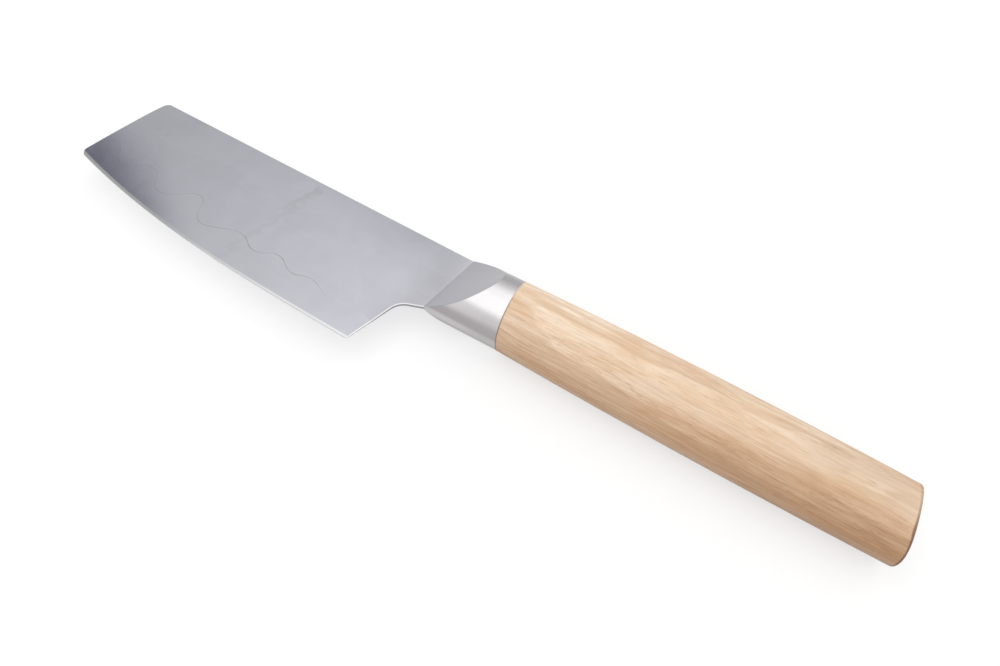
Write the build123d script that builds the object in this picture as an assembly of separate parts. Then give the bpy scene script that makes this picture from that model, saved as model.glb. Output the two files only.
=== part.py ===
"""Nakiri vegetable knife lying on its side: two-steel blade, ground bolster, oval wood handle.

Every size is in millimetres and is written in the knife's own axes: X runs towards the
butt, Y towards the spine and Z out of the upper side, with zero where the handle's axis
crosses the joint between bolster and wood. The last section moves the finished knife so
that the bottom centre of its box is the origin.
"""
import os
from math import asin, atan2, cos, degrees, radians, sin, sqrt, tan

from build123d import *

overrun = 4.0  # how far every cutting tool runs past what it cuts

# Oval grip: height, thickness and how far its middle lies above the axis
grip_height_joint = 25.9
grip_height_middle = 26.8
grip_height_butt = 24.5
grip_thickness_joint = 20.4
grip_thickness_middle = 20.6
grip_thickness_butt = 18.9
grip_rise_joint = 0.0
grip_rise_middle = 0.2
grip_rise_butt = 0.3
grip_round_share = 0.92  # radius of the arcs at spine and belly, of half the thickness
grip_steps = 6

# Handle
handle_length = 125.7
joint_lean = 8.5  # degrees, the belly side of the joint lies further back
butt_lean = 4.0  # degrees
butt_dome_radius = 48.0
butt_round = 0.6

# Bolster
bolster_front_rise = -0.8  # how far the bolster's middle lies above the axis at the weld
weld_spine_x = -24.1
weld_belly_x = -26.0
facet_angle_belly = 29.2  # degrees, the slope of the ground facet along the knife
facet_angle_middle = 28.2
facet_angle_spine = 15.0
spine_rear_y = bolster_front_rise + grip_height_joint / 2
belly_front_y = bolster_front_rise - grip_height_joint / 2

# Blade outline, seen from the upper side
spine_front_x = -187.4
spine_front_y = 12.9
front_lean = 3.0  # degrees, the edge end of the front stands further forward
front_bulge = 1.0
front_top_radius = 3.0
front_low_radius = 4.0
heel_x = -38.5
heel_lean = 11.6  # degrees, the edge end of the heel stands further forward
heel_radius = 1.2
choil_y = -17.1
choil_radius = 6.0

# Cutting edge: three arcs without corners, nearly flat at the heel and tighter at the front
edge_low_x = -82.0
edge_low_y = -38.4
edge_heel_radius = 2000.0
edge_middle_radius = 600.0
edge_sweep_radius = 520.0
edge_sweep_x = -150.0
edge_sweep_angle = 11.0  # degrees of the tightest arc, enough to pass the front

# Blade thickness
spine_thickness = 2.4
edge_thickness = 0.7  # at the lowest point, before it is sharpened
edge_bevel_angle = 21.0  # degrees, each side
rim_ease = 0.25  # chamfer that takes the sharpness off spine, front, heel and choil

# Wavy brazed seam between the upper steel and the cutting steel
seam_width = 0.3
seam_bend_share = 0.45  # of the shorter run beside a corner, taken up by its rounding
seam_corners = [  # the waves' corners before rounding, from the front to the heel
    (-194.0, -20.0),
    (-181.0, -14.5),
    (-172.0, -26.0),
    (-156.5, -15.5),
    (-145.5, -29.5),
    (-127.5, -15.5),
    (-121.5, -31.0),
    (-101.0, -23.0),
    (-91.5, -29.0),
    (-83.0, -23.0),
    (-73.0, -28.5),
    (-65.5, -25.0),
    (-54.5, -29.5),
    (-45.0, -26.5),
    (-36.0, -28.5),
]

# Tang
tang_weld_depth = 9.0
tang_reach = 92.0
tang_thickness = 3.5
tang_height_front = 12.0
tang_height_rear = 8.0
tang_clearance = 0.3


def blade_half(y):
    """Half the blade's thickness at height y: both sides run straight from spine to edge."""
    height_share = (y - edge_low_y) / (spine_front_y - edge_low_y)
    return (edge_thickness + (spine_thickness - edge_thickness) * height_share) / 2


def weld_x(y):
    """Where the weld between blade and bolster crosses height y."""
    height_share = (y - belly_front_y) / (spine_rear_y - belly_front_y)
    return weld_belly_x + (weld_spine_x - weld_belly_x) * height_share


def leaning_x(x, lean, y):
    """Where a line through (x, 0) that leans back towards the belly crosses height y."""
    return x - y * tan(radians(lean))


def slab(points, thickness):
    """A plate with the given outline, lying across the knife's middle plane."""
    return extrude(make_face(Polyline(*points, close=True)), amount=thickness / 2, both=True)


def nearest_corner(face, x, y):
    """The corner of a flat outline that lies closest to a point."""
    return face.vertices().sort_by_distance((x, y, 0))[0]


# Cutting edge, and the region above it
edge_room = 3 * overrun  # the sharpening tool narrows as it rises, so it starts wider
edge_rear_x = weld_spine_x + edge_room
heel_turn = degrees(asin((edge_rear_x - edge_low_x) / edge_heel_radius))
middle_turn = degrees(asin((edge_low_x - edge_sweep_x) / edge_middle_radius))
heel_arc = JernArc((edge_low_x, edge_low_y), (1, 0), edge_heel_radius, heel_turn)
middle_arc = JernArc((edge_low_x, edge_low_y), (-1, 0), edge_middle_radius, -middle_turn)
sweep_arc = JernArc(middle_arc @ 1, middle_arc % 1, edge_sweep_radius, -edge_sweep_angle)
above_edge = make_face(
    [
        heel_arc,
        middle_arc,
        sweep_arc,
        Polyline(
            sweep_arc @ 1,
            ((sweep_arc @ 1).X, spine_front_y + edge_room),
            ((heel_arc @ 1).X, spine_front_y + edge_room),
            heel_arc @ 1,
        ),
    ]
)

# Profile of the blade before its edge is cut: spine, front, heel and choil
def on_line(start, end, x):
    """The point at x on the line through two points."""
    rise = (end[1] - start[1]) / (end[0] - start[0])
    return (x, start[1] + rise * (x - start[0]))


foot_y = edge_low_y - overrun
heel_y = edge_low_y + edge_heel_radius - sqrt(edge_heel_radius**2 - (heel_x - edge_low_x) ** 2)
heel_foot = (leaning_x(heel_x, -heel_lean, foot_y - heel_y), foot_y)
choil_corner = (leaning_x(heel_x, -heel_lean, choil_y - heel_y), choil_y)
weld_belly = (weld_belly_x, belly_front_y)
weld_spine = (weld_spine_x, spine_rear_y)
spine_front = (spine_front_x, spine_front_y)
front_foot = (leaning_x(spine_front_x, front_lean, spine_front_y - foot_y), foot_y)
front_middle = (
    (spine_front_x + front_foot[0]) / 2 - front_bulge,
    (spine_front_y + foot_y) / 2,
)
profile = make_face(
    [
        ThreePointArc(spine_front, front_middle, front_foot),
        Polyline(
            front_foot,
            heel_foot,
            choil_corner,
            on_line(choil_corner, weld_belly, edge_rear_x),
            on_line(spine_front, weld_spine, edge_rear_x),
            spine_front,
        ),
    ]
)
profile = fillet(nearest_corner(profile, *spine_front), front_top_radius)
profile = fillet(nearest_corner(profile, *choil_corner), choil_radius)

# Outline: the profile down to the cutting edge and back to the weld
before_weld = make_face(
    Polyline(
        (weld_x(spine_front_y + edge_room), spine_front_y + edge_room),
        (weld_x(foot_y), foot_y),
        (front_foot[0] - edge_room, foot_y),
        (front_foot[0] - edge_room, spine_front_y + edge_room),
        close=True,
    )
)
outline = profile & above_edge & before_weld
outline = fillet(nearest_corner(outline, heel_x, heel_y), heel_radius)
outline = fillet(outline.vertices().sort_by(Axis.X)[0], front_low_radius)

# Blade: the outline, tapered straight from spine to edge, with an eased rim and a bevelled edge
taper_top_y = spine_front_y + overrun
taper_section = Plane.YZ * make_face(
    Polyline(
        (foot_y, -blade_half(foot_y)),
        (taper_top_y, -blade_half(taper_top_y)),
        (taper_top_y, blade_half(taper_top_y)),
        (foot_y, blade_half(foot_y)),
        close=True,
    )
)
taper = extrude(taper_section, amount=overrun - front_foot[0], both=True)
blank = extrude(profile, amount=spine_thickness, both=True) & taper


def on_rim(edge):
    """Whether an edge of the blank runs along its front, spine, heel or choil."""
    middle = edge @ 0.5
    return middle.Y > foot_y + rim_ease and middle.X < edge_rear_x - rim_ease


rim = blank.edges().filter_by(Axis.Z, reverse=True).filter_by(on_rim)
blank = chamfer(rim, rim_ease)
bevel_side = extrude(
    above_edge, amount=spine_thickness, dir=(0, 0, 1), taper=90 - edge_bevel_angle
)
bevel = bevel_side + mirror(bevel_side, Plane.XY)
blade = blank & extrude(outline, amount=spine_thickness, both=True) & bevel


# The wavy seam parts the blade into upper steel and cutting steel
def seam_side(shift):
    """One side of the seam: straight runs joined by arcs as large as the runs allow."""
    corners = [Vector(x, y + shift) for x, y in seam_corners]
    radii = []
    for before, corner, after in zip(corners, corners[1:], corners[2:]):
        run_in = corner - before
        run_out = after - corner
        turn = radians(run_in.get_angle(run_out))
        radii.append(seam_bend_share * min(run_in.length, run_out.length) / tan(turn / 2))
    return FilletPolyline(*corners, radius=radii)


seam_top = seam_side(seam_width / 2)
seam_low = seam_side(-seam_width / 2)
seam_strip = make_face(
    [seam_top, Line(seam_top @ 1, seam_low @ 1), seam_low, Line(seam_low @ 0, seam_top @ 0)]
)
seam_wall = extrude(seam_strip, amount=spine_thickness, both=True)
braze_seam = blade & seam_wall
steels = (blade - seam_wall).solids().sort_by(Axis.Y)
edge_steel = steels[0]
blade_body = steels[-1]


# Oval grip form
def oval(x, height, thickness, rise):
    """A section of the grip: small arcs at spine and belly, tangent to flatter ones between."""
    small_radius = thickness / 2 * grip_round_share
    small_y = height / 2 - small_radius
    flat_radius = (small_y**2 + (thickness / 2) ** 2 - small_radius**2) / (
        thickness - 2 * small_radius
    )
    turn = atan2(small_y, flat_radius - thickness / 2)
    y = small_y + small_radius * sin(turn)
    z = small_radius * cos(turn)
    ends = [(rise - y, z), (rise - y, -z), (rise + y, -z), (rise + y, z)]
    crowns = [
        (rise, thickness / 2),
        (rise - height / 2, 0),
        (rise, -thickness / 2),
        (rise + height / 2, 0),
    ]
    arcs = [
        ThreePointArc(start, crown, end)
        for start, crown, end in zip([ends[-1]] + ends, crowns, ends)
    ]
    return Plane.YZ.offset(x) * make_face(arcs)


def along_handle(x, joint, middle, butt):
    """A size of the wood at x: a parabola through its values at joint, middle and butt."""
    run_share = x / handle_length
    slope = 4 * middle - 3 * joint - butt
    bend = 2 * joint - 4 * middle + 2 * butt
    return joint + slope * run_share + bend * run_share**2


cut_y = spine_front_y + overrun
cut_thickness = grip_thickness_middle + overrun

# Bolster: a straight oval bar that dips towards the blade, cut at the weld and at the joint
bolster_reach = overrun - weld_belly_x
weld_middle_x = (weld_spine_x + weld_belly_x) / 2
bolster_dip = degrees(atan2(grip_rise_joint - bolster_front_rise, -weld_middle_x))
bolster_oval = oval(0, grip_height_joint, grip_thickness_joint, 0)
bolster_axis = Pos(0, grip_rise_joint, 0) * Rot(0, 0, bolster_dip)
bolster = bolster_axis * extrude(bolster_oval, amount=bolster_reach, both=True)
bolster &= slab(
    [
        (weld_x(cut_y), cut_y),
        (weld_x(-cut_y), -cut_y),
        (leaning_x(0, joint_lean, -cut_y), -cut_y),
        (leaning_x(0, joint_lean, cut_y), cut_y),
    ],
    cut_thickness,
)


# Both sides of the bolster are ground down to the blade's thickness at the weld
def facet_section(y, angle):
    """The space above the ground facet at height y: a triangle that starts at the weld."""
    start_x = weld_x(y) - overrun
    start_z = blade_half(y) - overrun * tan(radians(angle))
    end_x = start_x + bolster_reach
    end_z = start_z + bolster_reach * tan(radians(angle))
    points = [(start_x, y, start_z), (end_x, y, end_z), (start_x, y, end_z)]
    return make_face(Polyline(*points, close=True))


facet_tool = loft(
    [
        facet_section(-cut_y, facet_angle_belly),
        facet_section(0, facet_angle_middle),
        facet_section(cut_y, facet_angle_spine),
    ]
)
bolster -= facet_tool
bolster -= mirror(facet_tool, Plane.XY)


# Tang: a bar welded into the back of the bolster, running inside the handle
def bar(start_x, end_x, extra):
    """The tang's tapering bar, or with extra the slot around it."""
    front = tang_height_front / 2 + extra
    rear = tang_height_rear / 2 + extra
    points = [(start_x, -front), (end_x, -rear), (end_x, rear), (start_x, front)]
    return slab(points, tang_thickness + 2 * extra)


tang = bar(-tang_weld_depth, tang_reach, 0)
bolster -= tang

# Handle: ovals blended from joint to butt, cut at the joint, domed and rounded at the butt
grip_sections = []
for step in range(grip_steps + 1):
    x = (handle_length + 2 * overrun) * step / grip_steps - overrun
    height = along_handle(x, grip_height_joint, grip_height_middle, grip_height_butt)
    thickness = along_handle(
        x, grip_thickness_joint, grip_thickness_middle, grip_thickness_butt
    )
    rise = along_handle(x, grip_rise_joint, grip_rise_middle, grip_rise_butt)
    grip_sections.append(oval(x, height, thickness, rise))
handle = loft(grip_sections, ruled=True)
handle &= slab(
    [
        (leaning_x(0, joint_lean, cut_y), cut_y),
        (leaning_x(0, joint_lean, -cut_y), -cut_y),
        (handle_length + overrun, -cut_y),
        (handle_length + overrun, cut_y),
    ],
    cut_thickness,
)
dome_z = cut_thickness / 2
dome_x = sqrt(butt_dome_radius**2 - dome_z**2) - butt_dome_radius
dome_front_x = -handle_length - cut_y
dome_outline = make_face(
    [
        ThreePointArc((dome_x, -dome_z), (0, 0), (dome_x, dome_z)),
        Polyline((dome_x, dome_z), (dome_front_x, dome_z), (dome_front_x, -dome_z), (dome_x, -dome_z)),
    ]
)
dome = extrude(Plane.XZ * dome_outline, amount=2 * cut_y, both=True)
handle &= Pos(handle_length, 0, 0) * Rot(0, 0, butt_lean) * dome
butt_face = handle.faces().sort_by(Axis.X)[-1]
handle = fillet(butt_face.edges(), butt_round)
handle -= bar(-tang_weld_depth, tang_reach + tang_clearance, tang_clearance)

# Centre the knife over the origin and write one file for each piece
pieces = {
    "blade_body": blade_body,
    "edge_steel": edge_steel,
    "braze_seam": braze_seam,
    "bolster": bolster,
    "tang": tang,
    "handle": handle,
}
solids = [solid for piece in pieces.values() for solid in piece.solids()]
box = Compound(solids).bounding_box()
middle = box.center()
os.makedirs("parts", exist_ok=True)
for node, piece in pieces.items():
    export_step(Pos(-middle.X, -middle.Y, -box.min.Z) * piece, f"parts/{node}.step")
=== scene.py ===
import math

import bpy
from mathutils import Matrix, Vector


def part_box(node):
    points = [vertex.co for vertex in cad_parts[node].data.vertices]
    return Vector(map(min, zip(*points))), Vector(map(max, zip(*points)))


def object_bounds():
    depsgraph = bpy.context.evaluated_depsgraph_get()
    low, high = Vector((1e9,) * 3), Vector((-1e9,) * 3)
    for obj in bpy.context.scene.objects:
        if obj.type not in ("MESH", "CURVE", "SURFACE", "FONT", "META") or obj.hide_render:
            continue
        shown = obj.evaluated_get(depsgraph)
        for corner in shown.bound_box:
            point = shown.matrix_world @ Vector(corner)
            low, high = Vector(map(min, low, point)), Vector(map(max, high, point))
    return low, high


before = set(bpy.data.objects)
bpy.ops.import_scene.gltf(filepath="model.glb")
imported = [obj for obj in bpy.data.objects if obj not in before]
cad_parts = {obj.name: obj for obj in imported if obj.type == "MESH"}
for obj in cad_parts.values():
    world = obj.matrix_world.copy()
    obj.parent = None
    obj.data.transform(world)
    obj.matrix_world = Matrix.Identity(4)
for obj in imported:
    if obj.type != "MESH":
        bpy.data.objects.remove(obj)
cad_low, cad_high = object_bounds()

# Places on the knife, worked out from the frame, in metres
# The joint is where the handle's axis meets the front of the wood
mm = 0.001
tang_weld_depth = 9.0 * mm
tang_low, tang_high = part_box("tang")
tang_middle = (tang_low + tang_high) / 2
joint = Vector((tang_low.x + tang_weld_depth, tang_middle.y, tang_middle.z))
handle_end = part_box("handle")[1].x

# Slopes of the wood's two end faces, whose belly side lies further back
joint_slope = math.tan(math.radians(8.5))
butt_slope = math.tan(math.radians(4.0))

# Places that the finishes use, in millimetres from the joint
butt_dome = 0.9
butt_edge = (handle_end - joint.x) / mm - butt_dome
weld_place = -25.5
weld_slope = 0.15
# Where a painted dark reflection crosses the blade
reflection_place = -96.0
reflection_slope = 0.10
reflection_wander = 2.2
pith_across = 9.0
pith_depth = 62.0
ring_spacing = 1.35
# Where a painted highlight band runs along the top of the handle
highlight_band_across = -4.7
brown_patch = (56.0, 6.0, 0.0)

# Grinding of the steels: shares of fine lines and clouds, and the darkest and palest tone
wide_stretch = 0.22
fine_share = 0.6
cloud_share = 0.55
dark_level = 0.97
pale_level = 1.02

# Colours of the metals
upper_steel = (0.660, 0.662, 0.724)
hard_steel = (0.663, 0.663, 0.722)
collar_steel = (0.55, 0.535, 0.54)
mill_steel = (0.5, 0.5, 0.5)
# Painted shade on the blade's walls, and a painted highlight on its eased rims
wall_shade_grey = (0.36, 0.35, 0.36)
eased_highlight_grey = (0.86, 0.86, 0.87)
# A painted dark reflection across the blade
dark_reflection_tint = (0.87, 0.87, 0.86)
# Painted shade before the weld
weld_shade_tint = (0.88, 0.87, 0.86)
# A painted dark reflection along the bolster's belly side
belly_reflection_grey = (0.38, 0.355, 0.36)
facet_grey = (0.422, 0.422, 0.454)
braze_brown = (0.45, 0.425, 0.415)
braze_dull = (0.52, 0.505, 0.505)
braze_pale = (0.59, 0.585, 0.61)
braze_grain = (0.36, 0.31, 0.28)
braze_worn = (0.665, 0.668, 0.73)

# Colours of the wood
blotch_brown = (0.84, 0.61, 0.415)
blotch_tan = (0.93, 0.73, 0.54)
blotch_pale = (0.97, 0.805, 0.63)
warm_brown = (0.72, 0.46, 0.27)
late_brown = (0.58, 0.36, 0.205)
streak_brown = (0.60, 0.38, 0.22)
dark_fibre = (0.48, 0.29, 0.16)
pale_fibre = (0.92, 0.74, 0.57)
ray_pale = (0.95, 0.80, 0.63)
pore_brown = (0.36, 0.20, 0.11)
# Painted shade on the handle's belly side
belly_shade_tint = (0.74, 0.61, 0.505)
patch_tint = (0.89, 0.80, 0.74)
# Painted shade towards the butt
butt_shade_tint = (0.85, 0.80, 0.755)
end_brown = (0.42, 0.245, 0.13)
end_late_brown = (0.27, 0.145, 0.07)
end_pore_brown = (0.17, 0.09, 0.045)
lip_brown = (0.20, 0.10, 0.06)
# Painted shade at the butt's rim
butt_rim_shade = (0.13, 0.065, 0.035)

# Camera, at the photograph's place and angle
eye_from_joint = Vector((72.688, -116.211, 169.456)) * mm
azimuth = math.radians(33.608)
elevation = math.radians(52.547)
roll = math.radians(0.870)
lens_length = 23.853
film_width = 36.0
frame_shift = 0.0005
near_limit = 0.01

# Studio
floor_width = 6.0
floor_colour = (0.42, 0.42, 0.42)
floor_glow = 0.60
key_length = 0.9
key_width = 1.0
key_from_joint = Vector((-0.6, -0.11, 1.1))
key_power = 0.35
white = (1.0, 1.0, 1.0)
strip_axis = (-0.25, 0.0, 0.97)
strip_dim = 0.62
strip_bright = 1.15
plain_light = 1.14
front_axis = (0.45, 0.0, 1.0)
front_dim = 0.56
front_bright = 0.93
panel_toward = (-0.81, 0.17, 0.56)
panel_squash = (1.0, 1.0, 0.6)
panel_light = 0.33
panel_core = 0.085
panel_border = 0.165
panel_green = 0.006
panel_blue = 0.045


class Field:
    """A number that the shader works out at each point, to reckon with as with a plain number."""

    def __init__(self, socket):
        self.socket = socket

    def __add__(self, other):
        return calc("ADD", self, other)

    def __sub__(self, other):
        return calc("SUBTRACT", self, other)

    def __rsub__(self, other):
        return calc("SUBTRACT", other, self)

    def __mul__(self, other):
        return calc("MULTIPLY", self, other)

    def __truediv__(self, other):
        return calc("DIVIDE", self, other)

    def __pow__(self, other):
        return calc("POWER", self, other)

    def __abs__(self):
        return calc("ABSOLUTE", self)


def tree_of(*values):
    """The node tree that the linked values among several belong to."""
    sockets = [value.socket if isinstance(value, Field) else value for value in values]
    return next(socket.id_data for socket in sockets if isinstance(socket, bpy.types.NodeSocket))


def fill(entry, value):
    """Sets an input to a value, or links a field or another node's output to it."""
    if isinstance(value, Field):
        value = value.socket
    if isinstance(value, bpy.types.NodeSocket):
        entry.id_data.links.new(value, entry)
    elif entry.type == "RGBA":
        entry.default_value = (*value, 1.0)
    else:
        entry.default_value = value


def add(tree, kind, inputs=None, **settings):
    """Adds a node, sets its settings and fills its inputs."""
    made = tree.nodes.new(kind)
    for name, value in settings.items():
        setattr(made, name, value)
    for key, value in (inputs or {}).items():
        fill(made.inputs[key], value)
    return made


def calc(operation, first, second=0.0):
    """One step of arithmetic on fields and numbers."""
    made = add(tree_of(first, second), "ShaderNodeMath", {0: first, 1: second}, operation=operation)
    return Field(made.outputs[0])


def vector_calc(operation, *vectors, output="Vector"):
    """One step of arithmetic on vectors."""
    made = add(tree_of(*vectors), "ShaderNodeVectorMath", dict(enumerate(vectors)), operation=operation)
    return made.outputs[output]


def dot(first, second):
    """The dot product of two vectors."""
    return Field(vector_calc("DOT_PRODUCT", first, second, output="Value"))


def length(vector):
    """The length of a vector."""
    return Field(vector_calc("LENGTH", vector, output="Value"))


def scaled(vector, factors):
    """A vector with each of its parts multiplied by a factor."""
    return vector_calc("MULTIPLY", vector, factors)


def parts_of(vector):
    """The three parts of a vector."""
    split = add(tree_of(vector), "ShaderNodeSeparateXYZ", {0: vector})
    return [Field(part) for part in split.outputs]


def vector_of(first, second, third):
    """A vector from three numbers."""
    made = add(tree_of(first, second, third), "ShaderNodeCombineXYZ", {0: first, 1: second, 2: third})
    return made.outputs[0]


def noise(place, scale, detail=3.0, rough=0.5, distortion=0.0):
    """Noise from 0 to 1 at a place."""
    inputs = {"Vector": place, "Scale": scale, "Detail": detail, "Roughness": rough,
              "Distortion": distortion}
    return Field(add(tree_of(place), "ShaderNodeTexNoise", inputs).outputs["Fac"])


def remap(value, span, result, smooth=False):
    """A value moved from one range to another, and held at its ends."""
    kind = "SMOOTHSTEP" if smooth else "LINEAR"
    inputs = {"Value": value, "From Min": span[0], "From Max": span[1],
              "To Min": result[0], "To Max": result[1]}
    made = add(tree_of(value), "ShaderNodeMapRange", inputs, interpolation_type=kind)
    return Field(made.outputs["Result"])


def rise(value, none, full, most=1.0):
    """A straight rise from 0, where the value is at none, to the most, where it is at full."""
    return remap(value, span=(none, full), result=(0.0, most))


def fade(value, none, full, most=1.0):
    """The same rise, smooth at both ends."""
    return remap(value, span=(none, full), result=(0.0, most), smooth=True)


def mix(share, first, second, kind="MIX"):
    """Two colours mixed by a share from 0 to 1."""
    inputs = {0: share, 6: first, 7: second}
    made = add(tree_of(share, first, second), "ShaderNodeMix", inputs, data_type="RGBA", blend_type=kind)
    return made.outputs[2]


def colour_of(red, green, blue):
    """A colour from three numbers."""
    made = add(tree_of(red, green, blue), "ShaderNodeCombineColor", {0: red, 1: green, 2: blue})
    return made.outputs[0]


def grey(level):
    """A grey of a level."""
    return colour_of(level, level, level)


def ramp(value, stops):
    """A colour for each value, from stops of (place, colour)."""
    made = add(tree_of(value), "ShaderNodeValToRGB", {"Fac": value})
    line = made.color_ramp
    while len(line.elements) < len(stops):
        line.elements.new(0.5)
    for element, (place, colour) in zip(line.elements, stops):
        element.position = place
        element.color = (*colour, 1.0)
    return made.outputs["Color"]


def bump(height, depth, normal=None):
    """The normal over a relief of the depth given, in metres."""
    inputs = {"Height": height, "Distance": depth}
    if normal is not None:
        inputs["Normal"] = normal
    return add(tree_of(height), "ShaderNodeBump", inputs).outputs["Normal"]


class Surface:
    """A material in the making, with its place on the knife in millimetres from the joint."""

    def __init__(self, name):
        self.material = bpy.data.materials.new(name)
        self.material.use_nodes = True
        self.tree = self.material.node_tree
        self.tree.nodes.clear()
        corner = add(self.tree, "ShaderNodeTexCoord").outputs["Object"]
        self.place = scaled(vector_calc("SUBTRACT", corner, joint), (1 / mm,) * 3)
        self.along, self.across, self.high = parts_of(self.place)
        self.facing = add(self.tree, "ShaderNodeNewGeometry").outputs["Normal"]

    def noise(self, stretch, detail=3.0, rough=0.5, distortion=0.0, scale=1.0):
        """Noise drawn out along each axis of the knife."""
        return noise(scaled(self.place, stretch), scale, detail, rough, distortion)

    def paint(self, share, colour):
        """Covers a share of the colour so far."""
        self.tint = mix(share, self.tint, colour)

    def shade(self, share, tint):
        """Multiplies a share of the colour so far."""
        self.tint = mix(share, self.tint, tint, "MULTIPLY")

    def close(self, settings):
        """Links colour, gloss and normal to the shader and the output."""
        inputs = {"Base Color": self.tint, "Roughness": self.gloss, "Normal": self.normal, **settings}
        shader = add(self.tree, "ShaderNodeBsdfPrincipled", inputs)
        add(self.tree, "ShaderNodeOutputMaterial", {0: shader.outputs[0]})
        return self.material


class Steel(Surface):
    """Ground steel: brush lines, and clouds of finer and coarser grinding."""

    def __init__(self, name, colour, gloss, brushing, cloud_scale, rim):
        super().__init__(name)
        lines = self.noise(brushing, detail=4.0, rough=0.62)
        wide_lines = self.noise([stretch * wide_stretch for stretch in brushing])
        self.brushed = lines * fine_share + wide_lines * (1.0 - fine_share)
        self.clouds = noise(self.place, cloud_scale, detail=4.0, rough=0.55, distortion=0.6)
        dark = [channel * dark_level for channel in colour]
        pale = [channel * pale_level for channel in colour]
        self.tint = mix(fade(self.clouds, none=0.3, full=0.7), dark, pale)
        self.shade(1.0, grey(remap(self.brushed, span=(0.3, 0.7), result=(0.98, 1.015))))
        spots = noise(self.place, 0.9, detail=5.0, rough=0.7)
        grinding = self.clouds * cloud_share + self.brushed * (1.0 - cloud_share)
        self.gloss = remap(grinding, span=(0.35, 0.65), result=gloss)
        self.gloss = self.gloss + rise(spots, none=0.62, full=0.75, most=0.03)
        self.normal = add(self.tree, "ShaderNodeBevel", {"Radius": rim}, samples=4).outputs[0]

    def close(self, wave_depth, brush_depth):
        """Lays the waves and the brush lines of the grinding over the normal, and ends the material."""
        waves = bump(self.clouds, wave_depth, self.normal)
        self.normal = bump(self.brushed, brush_depth, waves)
        return super().close({"Metallic": 1.0})


class BladeSteel(Steel):
    """What both steels of the blade share: painted shade on the walls, a painted highlight on the eased
    rims, and a painted dark reflection across the blade.
    """

    def __init__(self, name, colour, gloss, rim):
        super().__init__(name, colour, gloss, brushing=(0.09, 5.0, 5.0), cloud_scale=0.06, rim=rim)
        flat = abs(parts_of(self.facing)[2])
        # Painted shade darkens the blade's thin walls
        self.paint(fade(flat, none=0.5, full=0.3), wall_shade_grey)
        # A painted highlight pales the eased rims
        eased_highlight = rise(flat, none=0.5, full=0.6) * rise(flat, none=0.85, full=0.75)
        self.paint(eased_highlight, eased_highlight_grey)
        # A painted dark reflection darkens a band across the blade
        self.shade(self.dark_reflection(), dark_reflection_tint)

    def dark_reflection(self):
        """A painted dark reflection that crosses the blade a little before its middle, strongest near the
        spine.
        """
        bends = noise(self.place, 0.22, detail=2.0)
        wander = remap(bends, span=(0.3, 0.7), result=(-reflection_wander, reflection_wander))
        from_line = abs(self.along - self.across * reflection_slope - wander - reflection_place)
        dark_reflection = fade(from_line, none=3.0, full=0.0)
        dark_reflection = dark_reflection * remap(self.across, span=(7.0, -8.0), result=(0.95, 0.35))
        dark_reflection = dark_reflection * fade(self.across, none=11.5, full=8.0)
        return dark_reflection * remap(self.clouds, span=(0.35, 0.6), result=(0.6, 1.0))

    def close(self):
        """Ends the material, with the same grinding on both steels."""
        return super().close(wave_depth=0.02 * mm, brush_depth=0.0004 * mm)


def blade_steel():
    """The upper steel, with painted shade a little before its weld to the bolster."""
    steel = BladeSteel("blade_steel", upper_steel, gloss=(0.09, 0.13), rim=0.03 * mm)
    # Painted shade darkens the blade towards the weld
    to_weld = steel.across * weld_slope + weld_place - steel.along
    steel.shade(fade(to_weld, none=16.0, full=0.0), weld_shade_tint)
    return steel.close()


def cutting_steel():
    """The cutting steel, with a painted highlight on its honed bevel, brightest towards the heel."""
    steel = BladeSteel("cutting_steel", hard_steel, gloss=(0.08, 0.12), rim=0.4 * mm)
    lean = parts_of(steel.normal)[1]
    # A painted highlight on the honed bevel, dimmer towards the tip; the bevel is also a little rougher
    honed_highlight = fade(lean, none=-0.15, full=-0.33)
    steel.paint(honed_highlight, grey(remap(steel.along, span=(-105.0, -135.0), result=(0.80, 0.60))))
    steel.gloss = steel.gloss + honed_highlight * 0.06
    # Only the bevel's shoulder is rounded, and not the border along the seam
    shoulder = fade(lean, none=-0.03, full=-0.12)
    turn = vector_calc("SUBTRACT", steel.normal, steel.facing)
    turn = scaled(turn, vector_of(shoulder, shoulder, shoulder))
    steel.normal = vector_calc("ADD", steel.facing, turn)
    return steel.close()


def bolster_steel():
    """The bolster's steel: a painted highlight on its crown, painted shade towards the spine, a painted
    dark reflection along its belly side, and a flat ground facet.
    """
    steel = Steel("bolster_steel", collar_steel, gloss=(0.19, 0.25), brushing=(0.08, 4.0, 4.0),
                  cloud_scale=0.07, rim=0.3 * mm)
    forward, spineward, upward = parts_of(steel.facing)
    # Painted highlight on the crown and along the front of the belly side, and painted shade towards the
    # spine
    crown_highlight = fade(spineward, none=-0.68, full=-0.36, most=0.42) * fade(spineward, none=0.13, full=-0.06)
    belly_shading = fade(spineward, none=-0.5, full=-0.7)
    belly_shading = belly_shading * remap(steel.along, span=(-4.0, -16.0), result=(-0.05, 0.13))
    level = remap(spineward, span=(-0.15, 0.05), result=(1.0, 1.18))
    level = level - rise(spineward, none=0.09, full=0.33, most=0.48)
    steel.shade(1.0, grey(level + belly_shading + crown_highlight))
    # A painted dark reflection runs as a streak along the steep part of its belly side
    flat = abs(upward)
    streak = fade(flat, none=0.66, full=0.40)
    streak = streak * remap(flat, span=(0.06, 0.24), result=(0.25, 1.0), smooth=True)
    steel.paint(streak * rise(spineward, none=0.0, full=-0.5), belly_reflection_grey)
    steel.paint(fade(forward, none=-0.15, full=-0.4), facet_grey)
    return steel.close(wave_depth=0.01 * mm, brush_depth=0.0025 * mm)


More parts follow.
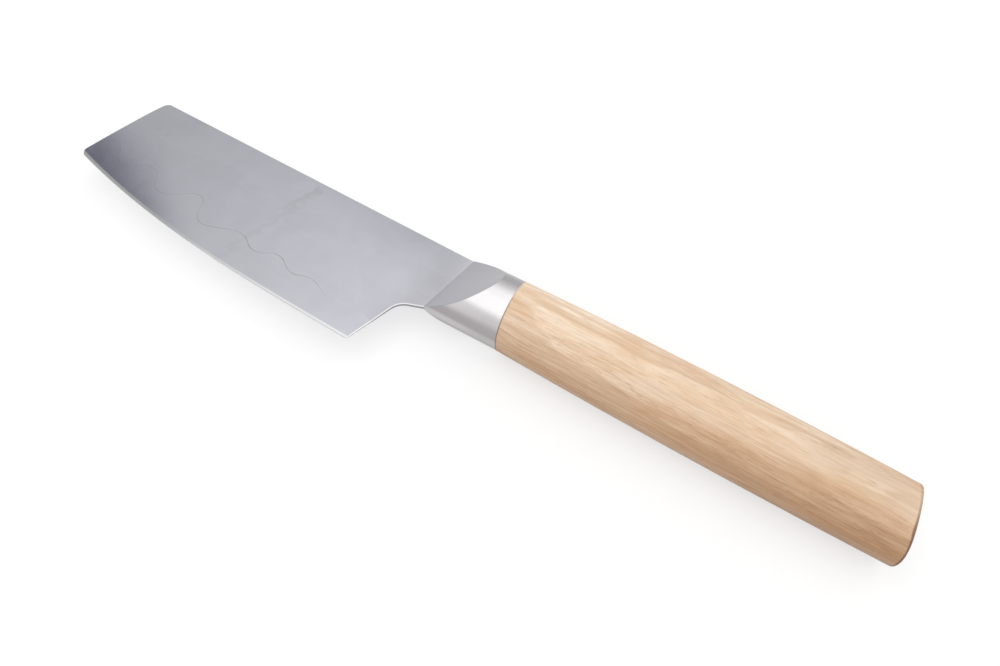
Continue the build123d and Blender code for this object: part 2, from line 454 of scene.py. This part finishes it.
def tang_steel():
    """The tang's steel, as it comes from the mill."""
    steel = Steel("tang_steel", mill_steel, gloss=(0.4, 0.55), brushing=(0.3, 2.0, 2.0),
                  cloud_scale=0.1, rim=0.3 * mm)
    return steel.close(wave_depth=0.02 * mm, brush_depth=0.01 * mm)


def braze_metal():
    """The braze metal: dull and brownish, and worn to the steel's own tone towards tip and heel."""
    braze = Surface("braze_metal")
    patches = noise(braze.place, 0.11)
    grain = noise(braze.place, 2.2, detail=4.0, rough=0.6)
    braze.tint = ramp(patches, [(0.35, braze_brown), (0.5, braze_dull), (0.65, braze_pale)])
    braze.paint(grain * 0.2, braze_grain)
    tip_wear = fade(braze.along, none=-118.0, full=-142.0, most=0.60)
    heel_wear = fade(braze.along, none=-72.0, full=-50.0, most=0.97)
    braze.paint(tip_wear + heel_wear, braze_worn)
    braze.gloss = remap(grain, span=(0.3, 0.7), result=(0.09, 0.14))
    braze.normal = bump(grain, 0.001 * mm)
    return braze.close({"Metallic": 1.0})


def late_wood(wood):
    """The dark late wood of the growth rings, and the place in the ring from 0 to 1.

    The rings lie almost level, about a pith far below the handle, so that they run out in
    wide figures on top and in fine straight lines on the two narrow sides.
    """
    drift = wood.noise((0.016, 0.06, 0.06)) * 5.0
    side = wood.across - pith_across
    depth = wood.high + pith_depth
    radius = calc("SQRT", side * side + depth * depth)
    ring = calc("FRACT", (radius + drift + wood.along * 0.012) / ring_spacing)
    return ring ** 2.0 * fade(ring, none=1.0, full=0.86), ring


def paint_grain(wood, late, ring):
    """Blotches, rings, streaks, fibres, rays and pores, all along the handle."""
    fibre = wood.noise((0.10, 2.8, 2.8), detail=5.0, rough=0.65)
    streak = wood.noise((0.020, 0.45, 0.45), detail=4.0, rough=0.6)
    blotch = wood.noise((0.035, 0.13, 0.13), distortion=0.4)
    patch = wood.noise((0.05, 0.22, 0.22), detail=2.0, distortion=0.8)
    ray = wood.noise((0.16, 1.1, 1.1), detail=2.0, scale=1.3)
    pore = wood.noise((0.25, 4.0, 4.0), detail=2.0)
    pores = fade(pore, none=0.61, full=0.69) * remap(ring, span=(0.0, 0.75), result=(1.0, 0.25))
    fine = remap(wood.across, span=(2.0, -8.0), result=(0.35, 1.0), smooth=True)

    wood.tint = ramp(blotch, [(0.36, blotch_brown), (0.47, blotch_tan), (0.58, blotch_pale)])
    warm = fade(patch, none=0.54, full=0.66, most=0.55)
    warm = warm * remap(wood.across, span=(1.0, 7.0), result=(0.2, 1.0))
    wood.paint(warm, warm_brown)
    wood.paint(late * 0.42, late_brown)
    wood.paint(rise(streak, none=0.42, full=0.66, most=0.42), streak_brown)
    wood.paint(rise(fibre, none=0.48, full=0.74, most=0.62) * fine, dark_fibre)
    wood.paint(rise(fibre, none=0.46, full=0.25, most=0.62) * fine, pale_fibre)
    wood.paint(fade(ray, none=0.64, full=0.74) * 0.30, ray_pale)
    wood.paint(pores * 0.50, pore_brown)
    return fibre, pores


def shade_grip(wood):
    """Painted shade on the belly side and towards the butt, and browner wood in one patch near the spine.
    """
    tail = rise(wood.along, none=55.0, full=112.0)
    # Painted shade darkens the belly side
    belly_shading = fade(wood.across - tail * 2.8, none=-4.5, full=-12.0)
    wood.shade(belly_shading * remap(wood.along, span=(30.0, 75.0), result=(0.80, 1.0)), belly_shade_tint)
    from_patch = scaled(vector_calc("SUBTRACT", wood.place, brown_patch), (0.07, 0.22, 0.0))
    wood.shade(fade(length(from_patch), none=1.1, full=0.2), patch_tint)
    # Painted shade darkens the wood towards the butt, but one band along the top stays pale almost to the
    # butt, as a painted highlight
    off_highlight_band = fade(abs(wood.across - highlight_band_across), none=2.6, full=4.8)
    off_highlight_band = calc("MAXIMUM", off_highlight_band, fade(wood.along, none=104.0, full=120.0, most=0.55))
    wood.shade(tail * off_highlight_band, butt_shade_tint)


def paint_end_grain(wood, late):
    """Darker end grain on the joint face and on the butt."""
    end_on = abs(parts_of(wood.facing)[0])
    end_pores = wood.noise((0.3, 3.0, 3.0), rough=0.6)
    end_tint = mix(late * 0.6, end_brown, end_late_brown)
    end_tint = mix(rise(end_pores, none=0.5, full=0.65, most=0.6), end_tint, end_pore_brown)
    wood.paint(fade(end_on, none=0.35, full=0.8), end_tint)


def paint_rims(wood):
    """A dark rim at the joint, and painted shade as a dark rim at the butt, both strongest on the belly
    side.
    """
    from_joint = wood.along + wood.across * joint_slope
    lip = fade(from_joint, none=0.50, full=0.25)
    lip = lip * remap(wood.across, span=(6.0, -9.0), result=(0.15, 0.7), smooth=True)
    wood.paint(lip, lip_brown)
    # Painted shade as a dark rim on the side of the butt, widest on the belly side
    to_butt = butt_edge - (wood.along + wood.across * butt_slope)
    shaded_rim_width = remap(wood.across, span=(-6.0, -11.0), result=(1.6, 0.8))
    rim = fade(to_butt - shaded_rim_width, none=0.0, full=-0.35)
    rim = rim * remap(wood.across, span=(6.0, -9.0), result=(0.3, 0.85), smooth=True)
    wood.paint(rim, butt_rim_shade)


def handle_wood():
    """The handle's light wood, smooth and sealed."""
    wood = Surface("handle_wood")
    late, ring = late_wood(wood)
    fibre, pores = paint_grain(wood, late, ring)
    shade_grip(wood)
    paint_end_grain(wood, late)
    paint_rims(wood)
    wood.gloss = remap(fibre, span=(0.3, 0.7), result=(0.40, 0.52)) + pores * 0.12
    wood.normal = bump(fibre * -0.35 - pores - late * 0.2, 0.04 * mm)
    return wood.close({"Specular IOR Level": 0.42, "Coat Weight": 0.06, "Coat Roughness": 0.3})


def strip_light(toward, along, across):
    """The light of a strip that crosses overhead, and plain light beyond it."""
    overhead = dot(toward, strip_axis)
    strip = remap(overhead, span=(0.2, 0.75), result=(strip_dim, strip_bright))
    strip = strip + fade(overhead, none=0.75, full=1.0, most=0.15)
    strip = strip + rise(across, none=-0.5, full=-0.85, most=0.22)
    return strip + fade(along, none=-0.32, full=-0.25) * (plain_light - strip)


def front_light(toward, across, height):
    """The light off the blade's front: dim there and behind the spine, brighter near the horizon."""
    light = remap(dot(toward, front_axis), span=(0.18, 0.60), result=(front_dim, front_bright))
    light = light + fade(height, none=0.32, full=0.0, most=0.26)
    back = fade(across, none=0.43, full=0.53, most=0.25) * rise(height, none=0.3, full=0.5)
    return light * (1.0 - back)


def studio_world():
    """Soft light from overhead that fades towards the front, with one dark panel there."""
    world = bpy.data.worlds.new("studio")
    bpy.context.scene.world = world
    world.use_nodes = True
    tree = world.node_tree
    tree.nodes.clear()
    toward = add(tree, "ShaderNodeTexCoord").outputs["Generated"]
    along, across, height = parts_of(toward)
    front = front_light(toward, across, height)
    strip = strip_light(toward, along, across)
    level = front + fade(along, none=-0.44, full=-0.40) * (strip - front)
    # The panel is soft at its border and a little cool
    from_panel = length(scaled(vector_calc("SUBTRACT", toward, panel_toward), panel_squash))
    panel = remap(from_panel, span=(panel_core, panel_border), result=(panel_light, 1.0), smooth=True)
    level = level * panel
    cool = remap(panel, span=(panel_light, 1.0), result=(1.0, 0.0))
    light = colour_of(level, level + cool * panel_green, level + cool * panel_blue)
    # The background near the horizon is white, to the camera and in the metal alike
    path = add(tree, "ShaderNodeLightPath").outputs
    mirrored = Field(path["Is Glossy Ray"]) + Field(path["Is Transmission Ray"])
    mirrored = mirrored * fade(height, none=0.36, full=0.28)
    seen = calc("MINIMUM", Field(path["Is Camera Ray"]) + mirrored, 1.0)
    shader = add(tree, "ShaderNodeBackground", {"Color": mix(seen, light, white)})
    add(tree, "ShaderNodeOutputWorld", {0: shader.outputs[0]})


def studio_key():
    """One large soft lamp that hangs level above the knife."""
    lamp = bpy.data.lights.new("key", "AREA")
    lamp.shape = "RECTANGLE"
    lamp.size = key_length
    lamp.size_y = key_width
    lamp.energy = key_power
    key = bpy.data.objects.new("key", lamp)
    bpy.context.scene.collection.objects.link(key)
    key.location = joint + key_from_joint


def floor_material():
    """A pale matt floor that shows white to the camera and in metal, but for the knife's shadow."""
    material = bpy.data.materials.new("floor")
    material.use_nodes = True
    tree = material.node_tree
    tree.nodes.clear()
    path = add(tree, "ShaderNodeLightPath").outputs
    seen = Field(path["Is Camera Ray"]) + Field(path["Is Glossy Ray"]) + Field(path["Is Transmission Ray"])
    paint = add(tree, "ShaderNodeBsdfDiffuse", {"Color": floor_colour})
    glow = add(tree, "ShaderNodeEmission", {"Strength": calc("MINIMUM", seen, 1.0) * floor_glow})
    both = add(tree, "ShaderNodeAddShader", {0: paint.outputs[0], 1: glow.outputs[0]})
    add(tree, "ShaderNodeOutputMaterial", {0: both.outputs[0]})
    return material


def studio_floor():
    """The plain floor that the knife lies on."""
    half = floor_width / 2
    corners = [(-half, -half, 0), (half, -half, 0), (half, half, 0), (-half, half, 0)]
    mesh = bpy.data.meshes.new("floor")
    mesh.from_pydata(corners, [], [(0, 1, 2, 3)])
    mesh.materials.append(floor_material())
    floor = bpy.data.objects.new("floor", mesh)
    bpy.context.scene.collection.objects.link(floor)
    floor.location = (0, 0, cad_low.z)


def photo_camera():
    """The camera at the photograph's viewing angle."""
    back = Vector((math.sin(azimuth) * math.cos(elevation), -math.cos(azimuth) * math.cos(elevation),
                   math.sin(elevation)))
    level = Vector((math.cos(azimuth), math.sin(azimuth), 0))
    upright = back.cross(level)
    right = math.cos(roll) * level + math.sin(roll) * upright
    up = -math.sin(roll) * level + math.cos(roll) * upright
    lens = bpy.data.cameras.new("photo_camera")
    lens.lens = lens_length
    lens.sensor_width = film_width
    lens.sensor_fit = "HORIZONTAL"
    lens.shift_x = -frame_shift
    lens.shift_y = frame_shift
    lens.clip_start = near_limit
    camera = bpy.data.objects.new("photo_camera", lens)
    bpy.context.scene.collection.objects.link(camera)
    turn = Matrix((right, up, back)).transposed()
    camera.matrix_world = Matrix.Translation(joint + eye_from_joint) @ turn.to_4x4()
    bpy.context.scene.camera = camera


finishes = {"blade_body": blade_steel(), "edge_steel": cutting_steel(), "braze_seam": braze_metal(),
            "bolster": bolster_steel(), "tang": tang_steel(), "handle": handle_wood()}
for node_name, finish in finishes.items():
    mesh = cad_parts[node_name].data
    mesh.materials.clear()
    mesh.materials.append(finish)

studio_world()
studio_key()
studio_floor()
photo_camera()
bpy.context.scene.view_settings.view_transform = "Standard"
